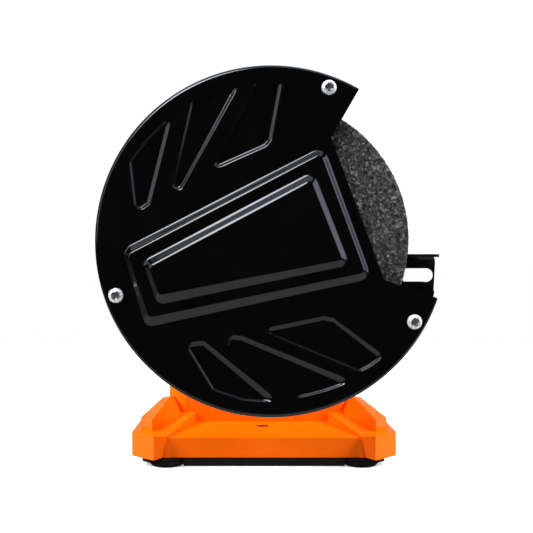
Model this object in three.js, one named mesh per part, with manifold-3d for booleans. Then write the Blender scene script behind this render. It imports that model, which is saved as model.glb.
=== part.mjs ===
// Double-ended bench grinder with 200 mm wheels, built as an assembly of separate pieces.
// Millimetres. +X is the operator's side, +Y runs along the spindle, +Z is up, floor at Z = 0.
import * as THREE from 'three';
import { mergeVertices } from 'three/addons/utils/BufferGeometryUtils.js';
import { ConvexGeometry } from 'three/addons/geometries/ConvexGeometry.js';
import Module from 'manifold-3d';

const wasm = await Module();
wasm.setup();

// ---------------------------------------------------------------- driving dimensions
const GAP = 0.3;                 // left between neighbours that touch or are pressed together
const SPINDLE_Z = 179;           // height of the spindle axis

const WHEEL_R = 100;
const WHEEL_IN = 163;            // distance of the wheel's motor-side face from the middle
const WHEEL_OUT = 188;
const WHEEL_BORE_R = 8;
const FLANGE_R = 40;

const GUARD_X = 2.27;            // the guard is not quite concentric with the spindle
const GUARD_Z = 177.5;
const GUARD_R = 122;
const GUARD_RIM_R = 121.5;
const GUARD_SKIN = 2;
const GUARD_BACK = 142;          // motor-side face of the guard's back plate
const GUARD_RIM_END = 198.2;
const COVER_IN = 198.5;
const COVER_OUT = 200;
const COVER_STEP = 204;          // outer face of the first raised step
const COVER_TOP = 208;           // outer face of the second raised step
const COVER_DIP = 1.6;           // depth of the six pressed pockets
const NOTCH_UPPER_DEG = 60;
const NOTCH_LOWER_DEG = -18.8;
const NOTCH_R = 83;
const GUARD_BOLT_CIRCLE_R = 36;
const GUARD_BOLT_DEG = [90, 210, 330];
const SCREW_CIRCLE_R = 114;
const SCREW_DEG = [69.4, 199.2, -29.3];
const SCREW_HOLE_R = 2.6;

const REST_TOP = 168.4;
const REST_FRONT = 125;
const REST_TABLE_END = 122.9;
const REST_SLOT_R = 5;
const REST_SLOT_X = [73, 118.1];
const REST_SHEET = 2;
const REST_PLANE = 154;          // motor-side face of the rest's upright flange
const REST_OUT = 181;
const REST_GAP_X = 102;          // edge of the rest facing the wheel
const EAR_IN = 156.6;
const EAR_OUT = 158.6;
const STUD_X = 88;
const STUD_Z = 152.8;
const STUD_R = 3.8;
const KNOB_R = 12;
const KNOB_IN = 137;
const KNOB_OUT = 152.4;

const BASE_BOTTOM = 8;
const LEDGE_TOP = 23.6;
const ARM_TOP = 31.7;
const BASE_HALF_X = 104.7;
const BASE_HALF_Y = 107;
const PLAN_TAPER = 0.00085;
const PEDESTAL_HALF_X = 80;
const PEDESTAL_HALF_Y = 34;
const SADDLE_TOP = 125;
const SADDLE_BOLT_R = 3;
const SADDLE_BOLT_Y = 20;
const BENCH_HOLE_Y = 56.5;
const BENCH_HOLE_R = 4.25;
const FOOT_X = 77;
const FOOT_Y = 95;
const FOOT_R = 14;
const PAN_BOTTOM = 1.5;
const PAN_SHEET = 1.5;

const HOUSING_R = 75;
const HOUSING_IN_R = 70.5;
const HOUSING_HALF = 70;
const BELL_END = 141.7;
const STATOR_HALF = 30;
const STATOR_OUT_R = 70.2;
const STATOR_BORE_R = 40.2;
const SLOT_COUNT = 12;
const SLOT_IN_R = 43;
const SLOT_OUT_R = 58;
const SLOT_W = 10;
const ROTOR_R = 39.6;
const TIE_R = 67.2;
const TIE_DEG = [45, 135, 225, 315];
const TIE_BOLT_R = 2.5;
const TIE_SEAT = 86;
const BEARING_IN = 112;
const BEARING_OUT = 126;
const BEARING_R = 23.5;
const JOURNAL_R = 9.7;
const THREAD_R = 7.7;
const SPINDLE_END = 205;
const NUT_ACROSS_R = 13.86;      // hexagon corner radius for 24 mm across flats

const SWITCH_Z = 66;
const SWITCH_PIVOT_X = 77;
const ROCKER_TILT_DEG = 8;
const GLAND_Z = 70;
const GLAND_R = 7.5;
const GLAND_BORE_R = 3.6;

// ---------------------------------------------------------------- materials
const PAINT_ORANGE = [0xe8600a, 0.45, 0.1];
const GLOSS_BLACK = [0x08080a, 0.22, 0.3];
const SATIN_BLACK = [0x141416, 0.5, 0.3];
const ZINC = [0xc4c6c8, 0.32, 0.9];
const STEEL = [0x9a9c9e, 0.38, 0.9];
const ABRASIVE = [0x454341, 0.95, 0.0];
const RUBBER = [0x101010, 0.9, 0.0];
const PLASTIC = [0x111112, 0.55, 0.0];
const RED_PLASTIC = [0xb01010, 0.4, 0.0];
const COPPER = [0xb06a3a, 0.45, 0.7];
const LAMINATION = [0x5a5c60, 0.6, 0.7];

// ---------------------------------------------------------------- solid helpers
// Weld a closed geometry, drop collapsed triangles and make it face outwards.
function solid(geometry) {
  const loose = geometry.index ? geometry.toNonIndexed() : geometry;
  const bare = new THREE.BufferGeometry();
  bare.setAttribute('position', loose.getAttribute('position').clone());
  const welded = mergeVertices(bare, 1e-3);
  const points = welded.getAttribute('position').array;
  const index = welded.index.array;
  const kept = [];
  let volume = 0;
  for (let i = 0; i < index.length; i += 3) {
    const a = index[i];
    const b = index[i + 1];
    const c = index[i + 2];
    if (a === b || b === c || a === c) continue;
    kept.push(a, b, c);
    const va = new THREE.Vector3().fromArray(points, 3 * a);
    const vb = new THREE.Vector3().fromArray(points, 3 * b);
    const vc = new THREE.Vector3().fromArray(points, 3 * c);
    volume += va.dot(vb.cross(vc));
  }
  if (volume < 0) {
    for (let i = 0; i < kept.length; i += 3) {
      const swap = kept[i + 1];
      kept[i + 1] = kept[i + 2];
      kept[i + 2] = swap;
    }
  }
  return new wasm.Manifold(new wasm.Mesh({
    numProp: 3,
    vertProperties: new Float32Array(points),
    triVerts: new Uint32Array(kept),
  }));
}

function box(x0, x1, y0, y1, z0, z1) {
  const size = [Math.abs(x1 - x0), Math.abs(y1 - y0), Math.abs(z1 - z0)];
  const shape = new THREE.BoxGeometry(...size);
  shape.translate((x0 + x1) / 2, (y0 + y1) / 2, (z0 + z1) / 2);
  return solid(shape);
}

function cylinderY(radius, x, z, y0, y1, segments = 24) {
  const shape = new THREE.CylinderGeometry(radius, radius, Math.abs(y1 - y0), segments);
  shape.translate(x, (y0 + y1) / 2, z);
  return solid(shape);
}

function cylinderZ(radius, x, y, z0, z1, segments = 24) {
  const shape = new THREE.CylinderGeometry(radius, radius, z1 - z0, segments);
  shape.rotateX(Math.PI / 2);
  shape.translate(x, y, (z0 + z1) / 2);
  return solid(shape);
}

function cylinderX(radius, y, z, x0, x1, segments = 24) {
  const shape = new THREE.CylinderGeometry(radius, radius, x1 - x0, segments);
  shape.rotateZ(Math.PI / 2);
  shape.translate((x0 + x1) / 2, y, z);
  return solid(shape);
}

// Turned piece on the spindle axis, profile given as [radius, distance from the middle].
function turned(profile, side, segments, x = 0, z = SPINDLE_Z) {
  const points = profile.map(([r, y]) => new THREE.Vector2(r, side * y));
  const shape = new THREE.LatheGeometry(points, segments);
  shape.translate(x, 0, z);
  return solid(shape);
}

// Closed ring profile: the first point is repeated so the section closes on itself.
function ring(profile, side, segments, x = 0, z = SPINDLE_Z) {
  return turned([...profile, profile[0]], side, segments, x, z);
}

function outline(points) {
  return new THREE.Shape(points.map(([u, v]) => new THREE.Vector2(u, v)));
}

// Outline in X and Z, pushed along Y.
function prismY(points, y0, y1) {
  const depth = Math.abs(y1 - y0);
  const shape = new THREE.ExtrudeGeometry(outline(points), { depth, bevelEnabled: false });
  shape.rotateX(Math.PI / 2);
  shape.translate(0, Math.max(y0, y1), 0);
  return solid(shape);
}

// Outline in X and Y, pushed up along Z.
function prismZ(points, z0, z1) {
  const depth = z1 - z0;
  const shape = new THREE.ExtrudeGeometry(outline(points), { depth, bevelEnabled: false });
  shape.translate(0, 0, z0);
  return solid(shape);
}

function hull(points) {
  return solid(new ConvexGeometry(points.map(([x, y, z]) => new THREE.Vector3(x, y, z))));
}

function polar(radius, degrees) {
  const angle = THREE.MathUtils.degToRad(degrees);
  return [radius * Math.cos(angle), radius * Math.sin(angle)];
}

function piece(name, body, [color, roughness, metalness]) {
  const mesh = body.getMesh();
  const geometry = new THREE.BufferGeometry();
  const points = new Float32Array(mesh.vertProperties);
  geometry.setAttribute('position', new THREE.BufferAttribute(points, 3));
  geometry.setIndex(new THREE.BufferAttribute(new Uint32Array(mesh.triVerts), 1));
  geometry.computeVertexNormals();
  const material = new THREE.MeshStandardMaterial({ color, roughness, metalness });
  const result = new THREE.Mesh(geometry, material);
  result.name = name;
  return result;
}

const sideName = (side) => (side < 0 ? 'left' : 'right');

// ---------------------------------------------------------------- base
// One casting: a hollow slab with four corner posts, sloping arms and ribs, and a pedestal.
function baseCasting() {
  const inside = 5;
  const armX = BASE_HALF_X * planScale(-PEDESTAL_HALF_Y);
  let body = prismZ(tapered(80, BASE_HALF_Y), BASE_BOTTOM, LEDGE_TOP);
  body = body.add(prismZ(tapered(armX, PEDESTAL_HALF_Y), BASE_BOTTOM, ARM_TOP));
  for (const sx of [-1, 1]) {
    for (const sy of [-1, 1]) {
      const q = (x, y, z) => [sx * planX(x, sy * y), sy * y, z];
      body = body.add(hull([
        q(86, 118, BASE_BOTTOM), q(86, 118, 26.6),
        q(BASE_HALF_X, 100, BASE_BOTTOM), q(BASE_HALF_X, 100, 27),
        q(79.5, 107, BASE_BOTTOM), q(75.7, 107, 24.6),
        q(armX, 33, BASE_BOTTOM), q(armX, 33, ARM_TOP),
        q(56.5, 33, BASE_BOTTOM), q(56.5, 33, ARM_TOP),
      ]));
      body = body.add(hull([
        q(88.5, 102, 24), q(88.5, 102, 36.5),
        q(98.8, 88, 24), q(98.8, 88, 36.5),
        q(94.1, 74, 36.5), q(94.1, 74, 24),
        q(84.8, 37, 44), q(84.8, 28, 44), q(84.8, 28, 24),
        q(79, 37, 44.7), q(76, 28, 44.7),
        q(69, 53, 30.5), q(70, 34, 32.6), q(69, 53, 24), q(70, 28, 24),
      ]));
    }
  }
  body = body.add(hull(pedestalCorners(0, BASE_BOTTOM, SADDLE_TOP)));
  // Hollow underneath: the slab, then the pedestal up to a roof below the motor.
  body = body.subtract(prismZ(octagon(BASE_HALF_X - inside, BASE_HALF_Y - inside, 24, 5),
    BASE_BOTTOM - 1, LEDGE_TOP - inside));
  body = body.subtract(hull(pedestalCorners(inside, BASE_BOTTOM - 1, 92)));
  for (const sy of [-1, 1]) {
    body = body.add(cylinderZ(10, 0, sy * BENCH_HOLE_Y, BASE_BOTTOM, LEDGE_TOP - 2, 12));
    for (const sx of [-1, 1]) {
      body = body.add(cylinderZ(15, sx * footX(sy), sy * (FOOT_Y - 2), BASE_BOTTOM, LEDGE_TOP - 2, 12));
    }
  }
  body = body.subtract(turnedSaddle());
  for (const sy of [-1, 1]) {
    const y = sy * BENCH_HOLE_Y;
    body = body.subtract(cylinderZ(BENCH_HOLE_R, 0, y, BASE_BOTTOM - 1, LEDGE_TOP + 1, 16));
    body = body.subtract(cylinderZ(BENCH_HOLE_R + 1.5, 0, y, LEDGE_TOP - 1.2, LEDGE_TOP + 1, 16));
    body = body.subtract(cylinderZ(SADDLE_BOLT_R + 0.4, 0, sy * SADDLE_BOLT_Y, 80, 110, 8));
    for (const sx of [-1, 1]) {
      body = body.subtract(cylinderZ(4.5, sx * footX(sy), sy * FOOT_Y, BASE_BOTTOM - 1, 17, 10));
    }
  }
  body = body.subtract(box(60, 90, -10.3, 10.3, SWITCH_Z - 13.3, SWITCH_Z + 13.3));
  body = body.subtract(cylinderX(5.9, 0, GLAND_Z, -90, -60, 14));
  return body;
}

// The plan narrows evenly from the left end to the right end: each half width is stated for
// the left half, and the right half takes it in proportion.
function planScale(y) {
  return 1 - PLAN_TAPER * (y + 100);
}

function planX(x, y) {
  return y > 0 ? (x * planScale(y)) / planScale(-y) : x;
}

function footX(sy) {
  return planX(FOOT_X, sy * FOOT_Y);
}

function tapered(halfX, halfY) {
  const far = planX(halfX, halfY);
  return [[-halfX, -halfY], [halfX, -halfY], [far, halfY], [-far, halfY]];
}

function octagon(halfX, halfY, cutX, cutY) {
  const half = [];
  for (const y of [-halfY, -halfY + cutY, halfY - cutY, halfY]) {
    half.push([planX(Math.abs(y) === halfY ? halfX - cutX : halfX, y), y]);
  }
  return [...half, ...half.map(([x, y]) => [-x, y]).reverse()];
}

// The pedestal narrows upwards; the same corners, moved in, shape its hollow.
function pedestalCorners(inset, bottom, top) {
  const corners = [];
  for (const sx of [-1, 1]) {
    for (const sy of [-1, 1]) {
      const wide = sx * (PEDESTAL_HALF_X - inset);
      const near = sy * (PEDESTAL_HALF_Y - inset);
      corners.push([sx * (70 - inset), near, bottom]);
      corners.push([wide, sy * (22 - inset), bottom]);
      corners.push([wide, sy * (22 - inset), Math.min(86, top)]);
      corners.push([sx * ((top > 100 ? 54 : 60) - inset), near, top]);
      corners.push([sx * ((top > 100 ? 66 : 76) - inset), sy * (22 - inset), top]);
    }
  }
  return corners;
}

function turnedSaddle() {
  return cylinderY(HOUSING_R + GAP, 0, SPINDLE_Z, -60, 60, 40);
}

// Shallow pressed pan that closes the underside, notched around the feet.
function bottomCover() {
  let body = prismZ(octagon(98, 102, 18, 18), PAN_BOTTOM, BASE_BOTTOM - GAP);
  body = body.subtract(prismZ(octagon(96.5, 100.5, 17.5, 17.5), PAN_BOTTOM + PAN_SHEET, BASE_BOTTOM));
  for (const sy of [-1, 1]) {
    body = body.subtract(cylinderZ(6, 0, sy * BENCH_HOLE_Y, 0, BASE_BOTTOM, 12));
    for (const sx of [-1, 1]) {
      const cutter = cylinderZ(FOOT_R + 0.8, sx * footX(sy), sy * FOOT_Y, 0, BASE_BOTTOM + 1, 24);
      const corner = box(sx * footX(sy), sx * 110, sy * FOOT_Y, sy * 120, 0, BASE_BOTTOM + 1);
      body = body.subtract(cutter).subtract(corner);
    }
  }
  return body;
}

function foot(sx, sy) {
  const x = sx * footX(sy);
  const y = sy * FOOT_Y;
  const pad = new THREE.CylinderGeometry(FOOT_R, FOOT_R - 1.5, BASE_BOTTOM - GAP, 24);
  pad.rotateX(Math.PI / 2);
  pad.translate(x, y, (BASE_BOTTOM - GAP) / 2);
  return solid(pad).add(cylinderZ(4, x, y, 5, 16, 10));
}

// ---------------------------------------------------------------- motor
function motorHousing() {
  let body = ring([
    [HOUSING_R, -HOUSING_HALF], [HOUSING_R, HOUSING_HALF],
    [HOUSING_IN_R, HOUSING_HALF], [HOUSING_IN_R, -HOUSING_HALF],
  ], 1, 40);
  for (const sy of [-1, 1]) {
    body = body.subtract(cylinderZ(SADDLE_BOLT_R + 0.4, 0, sy * SADDLE_BOLT_Y, 100, 112, 8));
  }
  return body;
}

function saddleBolt(sy) {
  const y = sy * SADDLE_BOLT_Y;
  const head = cylinderZ(5.8, 0, y, 87, 91.7, 6);
  return head.add(cylinderZ(SADDLE_BOLT_R, 0, y, 91, 108.2, 8));
}

function endBell(side) {
  const boss = 27.5;
  const pocket = 133;
  let body = ring([
    [HOUSING_R, HOUSING_HALF + GAP], [HOUSING_R, 80], [70, 86], [50, 130],
    [50, BELL_END], [12, BELL_END], [12, BEARING_OUT + 0.4],
    [BEARING_R + GAP, BEARING_OUT + 0.4], [BEARING_R + GAP, BEARING_IN - GAP],
    [boss, BEARING_IN - GAP], [boss, pocket], [45.5, pocket], [45.5, 127],
    [HOUSING_IN_R, 78], [HOUSING_IN_R, HOUSING_HALF + GAP],
  ], side, 28);
  for (const degrees of TIE_DEG) {
    const [x, z] = polar(TIE_R, degrees);
    const at = [x, SPINDLE_Z + z];
    body = body.subtract(cylinderY(TIE_BOLT_R + 0.5, ...at, side * 65, side * 90, 8));
    body = body.subtract(cylinderY(6, ...at, side * TIE_SEAT, side * 100, 12));
  }
  for (const degrees of GUARD_BOLT_DEG) {
    const [x, z] = polar(GUARD_BOLT_CIRCLE_R, degrees);
    body = body.subtract(cylinderY(3, x, SPINDLE_Z + z, side * 130, side * 145, 8));
  }
  return body;
}

// Through bolt that clamps both end bells on the housing, with its nut.
function tieBolt(degrees) {
  const [x, z] = polar(TIE_R, degrees);
  const at = [x, SPINDLE_Z + z];
  const seat = TIE_SEAT + GAP;
  return cylinderY(TIE_BOLT_R, ...at, -seat - 1, seat + 1, 8)
    .add(cylinderY(4.6, ...at, -seat - 3.5, -seat, 6))
    .add(cylinderY(4.6, ...at, seat, seat + 4, 6));
}

function slotBox(angleIndex, innerR, outerR, width, half) {
  const shape = new THREE.BoxGeometry(outerR - innerR, 2 * half, width);
  shape.translate((outerR + innerR) / 2, 0, 0);
  shape.rotateY((angleIndex * 2 * Math.PI) / SLOT_COUNT);
  shape.translate(0, 0, SPINDLE_Z);
  return solid(shape);
}

function statorCore() {
  let body = ring([
    [STATOR_OUT_R, -STATOR_HALF], [STATOR_OUT_R, STATOR_HALF],
    [STATOR_BORE_R, STATOR_HALF], [STATOR_BORE_R, -STATOR_HALF],
  ], 1, 24);
  for (let i = 0; i < SLOT_COUNT; i += 1) {
    body = body.subtract(slotBox(i, SLOT_IN_R, SLOT_OUT_R, SLOT_W, STATOR_HALF + 1));
  }
  for (const degrees of TIE_DEG) {
    const [x, z] = polar(TIE_R + 1, degrees);
    body = body.subtract(cylinderY(4.4, x, SPINDLE_Z + z, -40, 40, 8));
  }
  return body;
}

// Coil sides lie in the slots and join the bunched end turns at both ends.
function statorWindings() {
  const near = STATOR_HALF + GAP;
  let body = null;
  for (const side of [-1, 1]) {
    const turns = ring([
      [43, near], [60, near], [62, near + 8], [56, near + 20], [45, near + 18],
    ], side, 24);
    body = body === null ? turns : body.add(turns);
  }
  for (let i = 0; i < SLOT_COUNT; i += 1) {
    body = body.add(slotBox(i, SLOT_IN_R + GAP, SLOT_OUT_R - GAP, SLOT_W - 2 * GAP, near + 2));
  }
  return body;
}

function rotorCore() {
  return ring([
    [12.5, -36], [34, -36], [34, -30], [ROTOR_R, -30],
    [ROTOR_R, 30], [34, 30], [34, 36], [12.5, 36],
  ], 1, 28);
}

function spindle() {
  const half = [
    [SPINDLE_END, 0], [SPINDLE_END, THREAD_R - 1], [SPINDLE_END - 1, THREAD_R],
    [156.7, THREAD_R], [156.7, JOURNAL_R], [BEARING_IN - 0.5, JOURNAL_R], [BEARING_IN - 0.5, 12.2],
  ];
  const lower = half.map(([y, r]) => [r, -y]);
  const upper = half.map(([y, r]) => [r, y]).reverse();
  return turned([...lower, ...upper], 1, 20);
}

// ---------------------------------------------------------------- bearings
function bearingOuter(side) {
  return ring([
    [BEARING_R, BEARING_IN], [BEARING_R, BEARING_OUT],
    [19.6, BEARING_OUT], [19.6, BEARING_IN],
  ], side, 24);
}

function bearingInner(side) {
  return ring([
    [10, BEARING_IN], [13.2, BEARING_IN], [13.2, BEARING_OUT], [10, BEARING_OUT],
  ], side, 20);
}

function bearingBalls(side) {
  const balls = 7;
  const middle = (BEARING_IN + BEARING_OUT) / 2;
  let body = ring([
    [15.3, middle - 1], [17.5, middle - 1], [17.5, middle + 1], [15.3, middle + 1],
  ], side, 14);
  for (let i = 0; i < balls; i += 1) {
    const [x, z] = polar(16.4, (360 * i) / balls);
    const ball = new THREE.SphereGeometry(2.85, 7, 4);
    ball.translate(x, side * middle, SPINDLE_Z + z);
    body = body.add(solid(ball));
  }
  return body;
}

// ---------------------------------------------------------------- wheels
function grindingWheel(side) {
  return ring([
    [WHEEL_BORE_R, WHEEL_IN], [WHEEL_R - 0.8, WHEEL_IN], [WHEEL_R, WHEEL_IN + 0.8],
    [WHEEL_R, WHEEL_OUT - 0.8], [WHEEL_R - 0.8, WHEEL_OUT], [WHEEL_BORE_R, WHEEL_OUT],
  ], side, 56);
}

// Dished clamping washer: only its outer ring bears on the wheel.
function wheelFlange(side, outer) {
  const seat = outer ? WHEEL_OUT + GAP : WHEEL_IN - GAP;
  const away = outer ? 1 : -1;
  return ring([
    [WHEEL_BORE_R, seat + away * 0.8], [30, seat + away * 0.8], [30, seat], [FLANGE_R, seat],
    [FLANGE_R, seat + away * 2.5], [22, seat + away * 5.4], [WHEEL_BORE_R, seat + away * 5.4],
  ], side, 20);
}

function wheelNut(side) {
  const near = WHEEL_OUT + 2 * GAP + 5.4;
  return cylinderY(NUT_ACROSS_R, 0, SPINDLE_Z, side * near, side * (near + 8.6), 6)
    .subtract(cylinderY(WHEEL_BORE_R, 0, SPINDLE_Z, side * 190, side * 210, 16));
}

// ---------------------------------------------------------------- guards
// Work opening, cut through rim, back plate and cover alike.
function notchCutter(y0, y1) {
  const inner = [polar(NOTCH_R, NOTCH_UPPER_DEG), polar(NOTCH_R, NOTCH_LOWER_DEG)];
  const far = [polar(150, NOTCH_LOWER_DEG), [190, 60], polar(150, NOTCH_UPPER_DEG)];
  return prismY([...inner, ...far].map(([u, v]) => [GUARD_X + u, GUARD_Z + v]), y0, y1);
}

// Back plate on the end bell, with the ear for the tool rest on a bent web.
function guardBack(side) {
  const s = (y) => side * y;
  const face = [s(GUARD_BACK), s(GUARD_BACK + GUARD_SKIN)];
  let body = cylinderY(GUARD_RIM_R, GUARD_X, GUARD_Z, ...face, 56);
  body = body.subtract(notchCutter(s(130), s(210)));
  body = body.subtract(cylinderY(24, 0, SPINDLE_Z, s(140), s(150), 24));
  body = body.subtract(cylinderY(16, STUD_X, STUD_Z, s(140), s(146), 20));
  body = body.add(prismY([
    [72, 130], [112, 130], [119, 134], [122.9, 136.8], [123.8, 141], [122.4, 143],
    [115.7, 148.2], [101, 148.2], [98, 153], [96, 163.5], [80, 163.5], [72, 150],
  ], s(EAR_IN), s(EAR_OUT)));
  body = body.add(box(74, 110, s(GUARD_BACK + 1), s(EAR_OUT), 130, 132.5));
  body = body.subtract(cylinderY(STUD_R + 0.5, STUD_X, STUD_Z, s(150), s(160), 14));
  for (const degrees of GUARD_BOLT_DEG) {
    const [x, z] = polar(GUARD_BOLT_CIRCLE_R, degrees);
    body = body.subtract(cylinderY(3, x, SPINDLE_Z + z, s(140), s(150), 8));
  }
  return body;
}

// Rolled rim with three lugs for the cover screws and a slit that the ear passes through.
function guardRim(side) {
  const s = (y) => side * y;
  const near = GUARD_BACK + GUARD_SKIN + GAP;
  let body = cylinderY(GUARD_RIM_R, GUARD_X, GUARD_Z, s(near), s(GUARD_RIM_END), 56);
  body = body.subtract(cylinderY(GUARD_RIM_R - GUARD_SKIN, GUARD_X, GUARD_Z, s(140), s(210), 56));
  for (const degrees of SCREW_DEG) {
    const lug = new THREE.BoxGeometry(15, 4, 13);
    lug.translate(SCREW_CIRCLE_R - 1, 0, 0);
    lug.rotateY(-THREE.MathUtils.degToRad(degrees));
    lug.translate(GUARD_X, s(GUARD_RIM_END - 2), GUARD_Z);
    body = body.add(solid(lug));
  }
  body = body.subtract(notchCutter(s(130), s(210)));
  body = body.subtract(box(106, 128, s(EAR_IN - GAP), s(EAR_OUT + GAP), 129.5, 145));
  for (const degrees of SCREW_DEG) {
    const [u, v] = polar(SCREW_CIRCLE_R, degrees);
    body = body.subtract(cylinderY(SCREW_HOLE_R, GUARD_X + u, GUARD_Z + v, s(190), s(205), 10));
  }
  return body;
}

function guardBolt(side, degrees) {
  const [x, z] = polar(GUARD_BOLT_CIRCLE_R, degrees);
  const at = [x, SPINDLE_Z + z];
  const seat = GUARD_BACK + GUARD_SKIN + GAP;
  return cylinderY(4.8, ...at, side * seat, side * (seat + 3.5), 6)
    .add(cylinderY(2.5, ...at, side * 132, side * (seat + 1), 8));
}

// Four corners of the two raised steps, [X, Z] from the guard's centre: foot, then plateau.
const STEP_ONE_FOOT = [[-99.9, -5.8], [35.9, 64.9], [68.5, -27.3], [-86, -61.3]];
const STEP_ONE_TOP = [[-95.4, -9.6], [33.2, 58.6], [61.9, -21.4], [-79.8, -51.6]];
const STEP_TWO_FOOT = [[-88.5, -14.1], [29, 48.2], [54.3, -17.9], [-78.4, -46]];
const STEP_TWO_TOP = [[-81.2, -16.9], [26.2, 40.6], [45.3, -11.4], [-75, -34.2]];

// Six pressed pockets, fanned above and below the raised panel.
const POCKETS = [
  [[-97.5, 55.2], [-94, 24.7], [-89.5, 22.6], [-84, 26.7], [-69.4, 84.3], [-85, 71.5]],
  [[-68, 37.1], [-62.5, 35.8], [-23.7, 106.4], [-40, 103.8], [-54.2, 98.1]],
  [[-41, 49.6], [-3.6, 66.3], [0.6, 71.8], [6.8, 109.9], [-9.8, 110.6]],
  [[-56.9, -74.4], [-54.2, -69.6], [-45.8, -68.9], [2, -108.4], [-19, -109], [-39.6, -102.8]],
  [[-29.9, -70.3], [-25.7, -64.7], [-19.5, -65.4], [51.2, -94.5], [36, -102.5], [19.3, -107.7]],
  [[-2.9, -59.9], [37.3, -51.6], [44.2, -52.9], [75.4, -76.5], [69, -83.5], [61.6, -89]],
];

function frustum(foot2d, top2d, footY, topY, side) {
  const at = (y) => ([u, v]) => [GUARD_X + u, side * y, GUARD_Z + v];
  return hull([...foot2d.map(at(footY)), ...top2d.map(at(topY))]);
}

// Move every edge of a convex outline inwards by the given distance; outwards if negative.
function inset(points, distance) {
  const count = points.length;
  let area = 0;
  points.forEach(([u, v], i) => {
    const [nextU, nextV] = points[(i + 1) % count];
    area += u * nextV - nextU * v;
  });
  const inward = Math.sign(area) * distance;
  const unit = (a, b) => {
    const length = Math.hypot(b[0] - a[0], b[1] - a[1]);
    return [(b[0] - a[0]) / length, (b[1] - a[1]) / length];
  };
  return points.map((point, i) => {
    const [du, dv] = unit(points[(i + count - 1) % count], point);
    const [eu, ev] = unit(point, points[(i + 1) % count]);
    const reach = inward / (1 + du * eu + dv * ev);
    return [point[0] - (dv + ev) * reach, point[1] + (du + eu) * reach];
  });
}

function guardCover(side) {
  const sheet = COVER_OUT - COVER_IN;
  let body = cylinderY(GUARD_R, GUARD_X, GUARD_Z, side * COVER_IN, side * COVER_OUT, 56);
  const stepOne = [STEP_ONE_FOOT, STEP_ONE_TOP, COVER_OUT - 0.5, COVER_STEP];
  const stepTwo = [STEP_TWO_FOOT, STEP_TWO_TOP, COVER_STEP - 0.5, COVER_TOP];
  body = body.add(frustum(...stepOne, side)).add(frustum(...stepTwo, side));
  body = body.subtract(frustum(inset(STEP_ONE_FOOT, 1), inset(STEP_ONE_TOP, 1),
    COVER_IN - 0.1, COVER_STEP - sheet, side));
  body = body.subtract(frustum(inset(STEP_TWO_FOOT, 1), inset(STEP_TWO_TOP, 1),
    COVER_STEP - sheet - 0.1, COVER_TOP - sheet, side));
  for (const pocket of POCKETS) {
    body = body.add(frustum(inset(pocket, -1), inset(pocket, 1),
      COVER_IN + 0.5, COVER_IN - COVER_DIP, side));
  }
  for (const pocket of POCKETS) {
    body = body.subtract(frustum(pocket, inset(pocket, 2.5),
      COVER_OUT + 0.1, COVER_OUT - COVER_DIP, side));
  }
  body = body.subtract(notchCutter(side * 190, side * 215));
  for (const degrees of SCREW_DEG) {
    const [u, v] = polar(SCREW_CIRCLE_R, degrees);
    const hole = cylinderY(SCREW_HOLE_R, GUARD_X + u, GUARD_Z + v, side * 190, side * 205, 10);
    body = body.subtract(hole);
  }
  return body;
}

// Pan-head screw with a cross recess.
function coverScrew(side, degrees) {
  const [u, v] = polar(SCREW_CIRCLE_R, degrees);
  const x = GUARD_X + u;
  const z = GUARD_Z + v;
  const seat = COVER_OUT + GAP;
  let body = turned([
    [0, 190], [2.2, 190], [2.2, seat], [5.2, seat], [5.2, seat + 1.6], [4.2, seat + 2.8],
    [0, seat + 3.1],
  ], side, 12, x, z);
  const top = side * (seat + 4);
  const floor = side * (seat + 1.3);
  body = body.subtract(box(x - 2.6, x + 2.6, floor, top, z - 0.6, z + 0.6));
  body = body.subtract(box(x - 0.6, x + 0.6, floor, top, z - 2.6, z + 2.6));
  return body;
}

// ---------------------------------------------------------------- tool rests
// Bent sheet: an upright slotted flange and a small table in front of the wheel.
function toolRest(side) {
  const s = (y) => side * y;
  const plane = [s(REST_PLANE), s(REST_PLANE + REST_SHEET)];
  let body = prismY([
    [62, 140.5], [REST_FRONT - 1.4, 140.5], [REST_FRONT, REST_TOP], [98, REST_TOP], [62, 164],
  ], ...plane);
  const slot = [];
  REST_SLOT_X.forEach((x, end) => {
    for (let i = 0; i <= 6; i += 1) {
      const [u, v] = polar(REST_SLOT_R, 90 + 180 * end + 30 * i);
      slot.push([x + u, STUD_Z + v]);
    }
  });
  body = body.subtract(prismY(slot, s(REST_PLANE - 1), s(REST_PLANE + REST_SHEET + 1)));
  return body.add(box(REST_GAP_X, REST_TABLE_END, s(REST_PLANE), s(REST_OUT),
    REST_TOP - REST_SHEET, REST_TOP));
}

// Lobed hand knob moulded on its clamping stud.
function restKnob(side) {
  const lobes = 6;
  const steps = 24;
  const points = [];
  for (let i = 0; i < steps; i += 1) {
    const degrees = (360 * i) / steps;
    const radius = KNOB_R - 1.2 + 1.2 * Math.cos(THREE.MathUtils.degToRad(lobes * degrees));
    const [u, v] = polar(radius, degrees);
    points.push([STUD_X + u, STUD_Z + v]);
  }
  return prismY(points, side * KNOB_IN, side * (KNOB_OUT - 2))
    .add(cylinderY(6.5, STUD_X, STUD_Z, side * (KNOB_OUT - 3), side * (REST_PLANE - GAP), 12))
    .add(cylinderY(STUD_R, STUD_X, STUD_Z, side * (KNOB_OUT - 1), side * 160, 12));
}

// ---------------------------------------------------------------- electrical pieces
function switchHousing() {
  const low = SWITCH_Z - 16;
  const high = SWITCH_Z + 16;
  return box(62, PEDESTAL_HALF_X + GAP + 1, -10, 10, SWITCH_Z - 13, SWITCH_Z + 13)
    .add(box(PEDESTAL_HALF_X + GAP, 82.5, -12.5, 12.5, low, high))
    .subtract(box(70, 90, -8.5, 8.5, SWITCH_Z - 11, SWITCH_Z + 11));
}

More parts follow.
